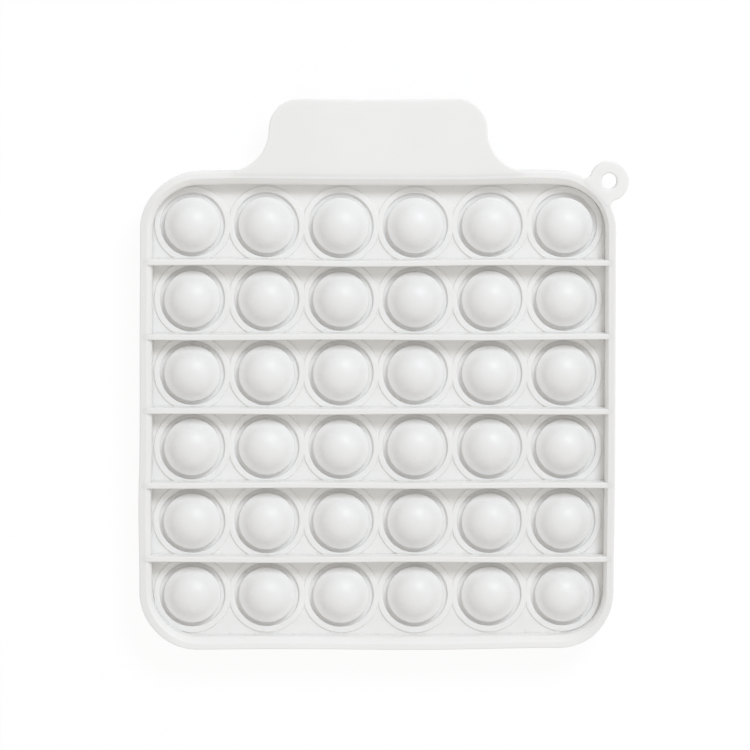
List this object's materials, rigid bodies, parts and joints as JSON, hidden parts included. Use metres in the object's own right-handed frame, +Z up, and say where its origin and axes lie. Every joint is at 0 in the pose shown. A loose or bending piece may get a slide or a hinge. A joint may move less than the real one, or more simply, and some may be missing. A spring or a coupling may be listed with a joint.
{
  "type": "push-bubble game board",
  "caption": "Square white silicone game board with a rimmed tray, rows of push-through bubbles between raised dividers, a plain header tab and a corner hanging loop.",
  "frame": {"origin": "centre of the bubble grid, on the plane the board lies on", "axes": "+Z up out of the face that shows in the picture, +Y towards the header tab, +X to the right along a row"},
  "size_m": [0.1273, 0.1433, 0.013],
  "materials": {
    "board_silicone": "satin moulded silicone",
    "bubble_silicone": "satin moulded silicone, thin walled"
  },
  "bodies": {
    "board": {"rim_frame": "board_silicone", "header_tab": "board_silicone", "hanging_loop": "board_silicone", "row_divider_1": "board_silicone", "row_divider_2": "board_silicone", "row_divider_3": "board_silicone", "row_divider_4": "board_silicone", "row_divider_5": "board_silicone", "row_floor_1": "board_silicone", "row_floor_2": "board_silicone", "row_floor_3": "board_silicone", "row_floor_4": "board_silicone", "row_floor_5": "board_silicone", "row_floor_6": "board_silicone", "bubble_skirts_row_1": "bubble_silicone", "bubble_skirts_row_2": "bubble_silicone", "bubble_skirts_row_3": "bubble_silicone", "bubble_skirts_row_4": "bubble_silicone", "bubble_skirts_row_5": "bubble_silicone", "bubble_skirts_row_6": "bubble_silicone"},
    "bubble_r1_c1": {"bubble_crown_r1_c1": "bubble_silicone"},
    "bubble_r1_c2": {"bubble_crown_r1_c2": "bubble_silicone"},
    "bubble_r1_c3": {"bubble_crown_r1_c3": "bubble_silicone"},
    "bubble_r1_c4": {"bubble_crown_r1_c4": "bubble_silicone"},
    "bubble_r1_c5": {"bubble_crown_r1_c5": "bubble_silicone"},
    "bubble_r1_c6": {"bubble_crown_r1_c6": "bubble_silicone"},
    "bubble_r2_c1": {"bubble_crown_r2_c1": "bubble_silicone"},
    "bubble_r2_c2": {"bubble_crown_r2_c2": "bubble_silicone"},
    "bubble_r2_c3": {"bubble_crown_r2_c3": "bubble_silicone"},
    "bubble_r2_c4": {"bubble_crown_r2_c4": "bubble_silicone"},
    "bubble_r2_c5": {"bubble_crown_r2_c5": "bubble_silicone"},
    "bubble_r2_c6": {"bubble_crown_r2_c6": "bubble_silicone"},
    "bubble_r3_c1": {"bubble_crown_r3_c1": "bubble_silicone"},
    "bubble_r3_c2": {"bubble_crown_r3_c2": "bubble_silicone"},
    "bubble_r3_c3": {"bubble_crown_r3_c3": "bubble_silicone"},
    "bubble_r3_c4": {"bubble_crown_r3_c4": "bubble_silicone"},
    "bubble_r3_c5": {"bubble_crown_r3_c5": "bubble_silicone"},
    "bubble_r3_c6": {"bubble_crown_r3_c6": "bubble_silicone"},
    "bubble_r4_c1": {"bubble_crown_r4_c1": "bubble_silicone"},
    "bubble_r4_c2": {"bubble_crown_r4_c2": "bubble_silicone"},
    "bubble_r4_c3": {"bubble_crown_r4_c3": "bubble_silicone"},
    "bubble_r4_c4": {"bubble_crown_r4_c4": "bubble_silicone"},
    "bubble_r4_c5": {"bubble_crown_r4_c5": "bubble_silicone"},
    "bubble_r4_c6": {"bubble_crown_r4_c6": "bubble_silicone"},
    "bubble_r5_c1": {"bubble_crown_r5_c1": "bubble_silicone"},
    "bubble_r5_c2": {"bubble_crown_r5_c2": "bubble_silicone"},
    "bubble_r5_c3": {"bubble_crown_r5_c3": "bubble_silicone"},
    "bubble_r5_c4": {"bubble_crown_r5_c4": "bubble_silicone"},
    "bubble_r5_c5": {"bubble_crown_r5_c5": "bubble_silicone"},
    "bubble_r5_c6": {"bubble_crown_r5_c6": "bubble_silicone"},
    "bubble_r6_c1": {"bubble_crown_r6_c1": "bubble_silicone"},
    "bubble_r6_c2": {"bubble_crown_r6_c2": "bubble_silicone"},
    "bubble_r6_c3": {"bubble_crown_r6_c3": "bubble_silicone"},
    "bubble_r6_c4": {"bubble_crown_r6_c4": "bubble_silicone"},
    "bubble_r6_c5": {"bubble_crown_r6_c5": "bubble_silicone"},
    "bubble_r6_c6": {"bubble_crown_r6_c6": "bubble_silicone"}
  },
  "joints": [
    {"name": "pop_r1_c1", "type": "slide", "parent": "board", "child": "bubble_r1_c1", "axis": [0, 0, -1], "range_m": [0, 0.0105], "deforming": ["bubble_skirts_row_1"]},
    {"name": "pop_r1_c2", "type": "slide", "parent": "board", "child": "bubble_r1_c2", "axis": [0, 0, -1], "range_m": [0, 0.0105], "deforming": ["bubble_skirts_row_1"]},
    {"name": "pop_r1_c3", "type": "slide", "parent": "board", "child": "bubble_r1_c3", "axis": [0, 0, -1], "range_m": [0, 0.0105], "deforming": ["bubble_skirts_row_1"]},
    {"name": "pop_r1_c4", "type": "slide", "parent": "board", "child": "bubble_r1_c4", "axis": [0, 0, -1], "range_m": [0, 0.0105], "deforming": ["bubble_skirts_row_1"]},
    {"name": "pop_r1_c5", "type": "slide", "parent": "board", "child": "bubble_r1_c5", "axis": [0, 0, -1], "range_m": [0, 0.0105], "deforming": ["bubble_skirts_row_1"]},
    {"name": "pop_r1_c6", "type": "slide", "parent": "board", "child": "bubble_r1_c6", "axis": [0, 0, -1], "range_m": [0, 0.0105], "deforming": ["bubble_skirts_row_1"]},
    {"name": "pop_r2_c1", "type": "slide", "parent": "board", "child": "bubble_r2_c1", "axis": [0, 0, -1], "range_m": [0, 0.0105], "deforming": ["bubble_skirts_row_2"]},
    {"name": "pop_r2_c2", "type": "slide", "parent": "board", "child": "bubble_r2_c2", "axis": [0, 0, -1], "range_m": [0, 0.0105], "deforming": ["bubble_skirts_row_2"]},
    {"name": "pop_r2_c3", "type": "slide", "parent": "board", "child": "bubble_r2_c3", "axis": [0, 0, -1], "range_m": [0, 0.0105], "deforming": ["bubble_skirts_row_2"]},
    {"name": "pop_r2_c4", "type": "slide", "parent": "board", "child": "bubble_r2_c4", "axis": [0, 0, -1], "range_m": [0, 0.0105], "deforming": ["bubble_skirts_row_2"]},
    {"name": "pop_r2_c5", "type": "slide", "parent": "board", "child": "bubble_r2_c5", "axis": [0, 0, -1], "range_m": [0, 0.0105], "deforming": ["bubble_skirts_row_2"]},
    {"name": "pop_r2_c6", "type": "slide", "parent": "board", "child": "bubble_r2_c6", "axis": [0, 0, -1], "range_m": [0, 0.0105], "deforming": ["bubble_skirts_row_2"]},
    {"name": "pop_r3_c1", "type": "slide", "parent": "board", "child": "bubble_r3_c1", "axis": [0, 0, -1], "range_m": [0, 0.0105], "deforming": ["bubble_skirts_row_3"]},
    {"name": "pop_r3_c2", "type": "slide", "parent": "board", "child": "bubble_r3_c2", "axis": [0, 0, -1], "range_m": [0, 0.0105], "deforming": ["bubble_skirts_row_3"]},
    {"name": "pop_r3_c3", "type": "slide", "parent": "board", "child": "bubble_r3_c3", "axis": [0, 0, -1], "range_m": [0, 0.0105], "deforming": ["bubble_skirts_row_3"]},
    {"name": "pop_r3_c4", "type": "slide", "parent": "board", "child": "bubble_r3_c4", "axis": [0, 0, -1], "range_m": [0, 0.0105], "deforming": ["bubble_skirts_row_3"]},
    {"name": "pop_r3_c5", "type": "slide", "parent": "board", "child": "bubble_r3_c5", "axis": [0, 0, -1], "range_m": [0, 0.0105], "deforming": ["bubble_skirts_row_3"]},
    {"name": "pop_r3_c6", "type": "slide", "parent": "board", "child": "bubble_r3_c6", "axis": [0, 0, -1], "range_m": [0, 0.0105], "deforming": ["bubble_skirts_row_3"]},
    {"name": "pop_r4_c1", "type": "slide", "parent": "board", "child": "bubble_r4_c1", "axis": [0, 0, -1], "range_m": [0, 0.0105], "deforming": ["bubble_skirts_row_4"]},
    {"name": "pop_r4_c2", "type": "slide", "parent": "board", "child": "bubble_r4_c2", "axis": [0, 0, -1], "range_m": [0, 0.0105], "deforming": ["bubble_skirts_row_4"]},
    {"name": "pop_r4_c3", "type": "slide", "parent": "board", "child": "bubble_r4_c3", "axis": [0, 0, -1], "range_m": [0, 0.0105], "deforming": ["bubble_skirts_row_4"]},
    {"name": "pop_r4_c4", "type": "slide", "parent": "board", "child": "bubble_r4_c4", "axis": [0, 0, -1], "range_m": [0, 0.0105], "deforming": ["bubble_skirts_row_4"]},
    {"name": "pop_r4_c5", "type": "slide", "parent": "board", "child": "bubble_r4_c5", "axis": [0, 0, -1], "range_m": [0, 0.0105], "deforming": ["bubble_skirts_row_4"]},
    {"name": "pop_r4_c6", "type": "slide", "parent": "board", "child": "bubble_r4_c6", "axis": [0, 0, -1], "range_m": [0, 0.0105], "deforming": ["bubble_skirts_row_4"]},
    {"name": "pop_r5_c1", "type": "slide", "parent": "board", "child": "bubble_r5_c1", "axis": [0, 0, -1], "range_m": [0, 0.0105], "deforming": ["bubble_skirts_row_5"]},
    {"name": "pop_r5_c2", "type": "slide", "parent": "board", "child": "bubble_r5_c2", "axis": [0, 0, -1], "range_m": [0, 0.0105], "deforming": ["bubble_skirts_row_5"]},
    {"name": "pop_r5_c3", "type": "slide", "parent": "board", "child": "bubble_r5_c3", "axis": [0, 0, -1], "range_m": [0, 0.0105], "deforming": ["bubble_skirts_row_5"]},
    {"name": "pop_r5_c4", "type": "slide", "parent": "board", "child": "bubble_r5_c4", "axis": [0, 0, -1], "range_m": [0, 0.0105], "deforming": ["bubble_skirts_row_5"]},
    {"name": "pop_r5_c5", "type": "slide", "parent": "board", "child": "bubble_r5_c5", "axis": [0, 0, -1], "range_m": [0, 0.0105], "deforming": ["bubble_skirts_row_5"]},
    {"name": "pop_r5_c6", "type": "slide", "parent": "board", "child": "bubble_r5_c6", "axis": [0, 0, -1], "range_m": [0, 0.0105], "deforming": ["bubble_skirts_row_5"]},
    {"name": "pop_r6_c1", "type": "slide", "parent": "board", "child": "bubble_r6_c1", "axis": [0, 0, -1], "range_m": [0, 0.0105], "deforming": ["bubble_skirts_row_6"]},
    {"name": "pop_r6_c2", "type": "slide", "parent": "board", "child": "bubble_r6_c2", "axis": [0, 0, -1], "range_m": [0, 0.0105], "deforming": ["bubble_skirts_row_6"]},
    {"name": "pop_r6_c3", "type": "slide", "parent": "board", "child": "bubble_r6_c3", "axis": [0, 0, -1], "range_m": [0, 0.0105], "deforming": ["bubble_skirts_row_6"]},
    {"name": "pop_r6_c4", "type": "slide", "parent": "board", "child": "bubble_r6_c4", "axis": [0, 0, -1], "range_m": [0, 0.0105], "deforming": ["bubble_skirts_row_6"]},
    {"name": "pop_r6_c5", "type": "slide", "parent": "board", "child": "bubble_r6_c5", "axis": [0, 0, -1], "range_m": [0, 0.0105], "deforming": ["bubble_skirts_row_6"]},
    {"name": "pop_r6_c6", "type": "slide", "parent": "board", "child": "bubble_r6_c6", "axis": [0, 0, -1], "range_m": [0, 0.0105], "deforming": ["bubble_skirts_row_6"]}
  ]
}
